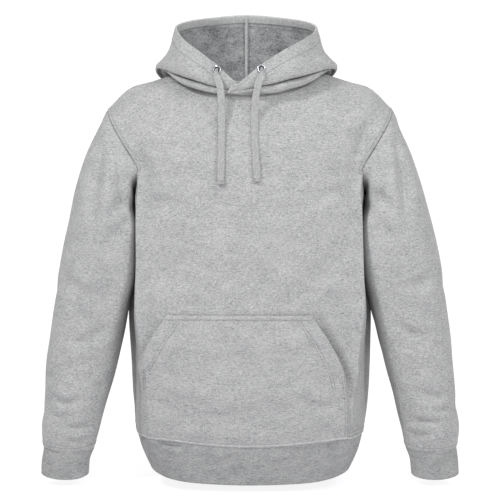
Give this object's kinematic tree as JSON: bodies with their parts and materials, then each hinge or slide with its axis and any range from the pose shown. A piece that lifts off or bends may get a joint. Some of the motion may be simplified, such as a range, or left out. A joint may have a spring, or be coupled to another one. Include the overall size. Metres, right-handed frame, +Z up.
{
  "type": "pullover hoodie",
  "caption": "Grey fleece pullover hoodie with its hood down, drawstring through eyelets, front pouch pocket, ribbed cuffs and waistband, filled out as if worn.",
  "frame": {"origin": "midway between the two high shoulder points, where the shoulder seams meet the neckline, inside the neck opening", "axes": "+Z up along the wearer, -Y towards the wearer's front, +X towards the wearer's left"},
  "size_m": [0.7302, 0.3064, 0.8139],
  "materials": {
    "fleece": "brushed inside, heather grey jersey face",
    "rib": "heather grey knit",
    "drawcord": "flat knitted tape",
    "eyelet_metal": "polished"
  },
  "bodies": {
    "root": {"front": "fleece", "back": "fleece", "sleeve_left": "fleece", "sleeve_right": "fleece", "cuff_left": "rib", "cuff_right": "rib", "waistband": "rib", "hood_left": "fleece", "hood_right": "fleece", "pocket": "fleece", "eyelet_left": "eyelet_metal", "eyelet_right": "eyelet_metal", "cord_left": "drawcord", "cord_right": "drawcord"}
  },
  "joints": []
}
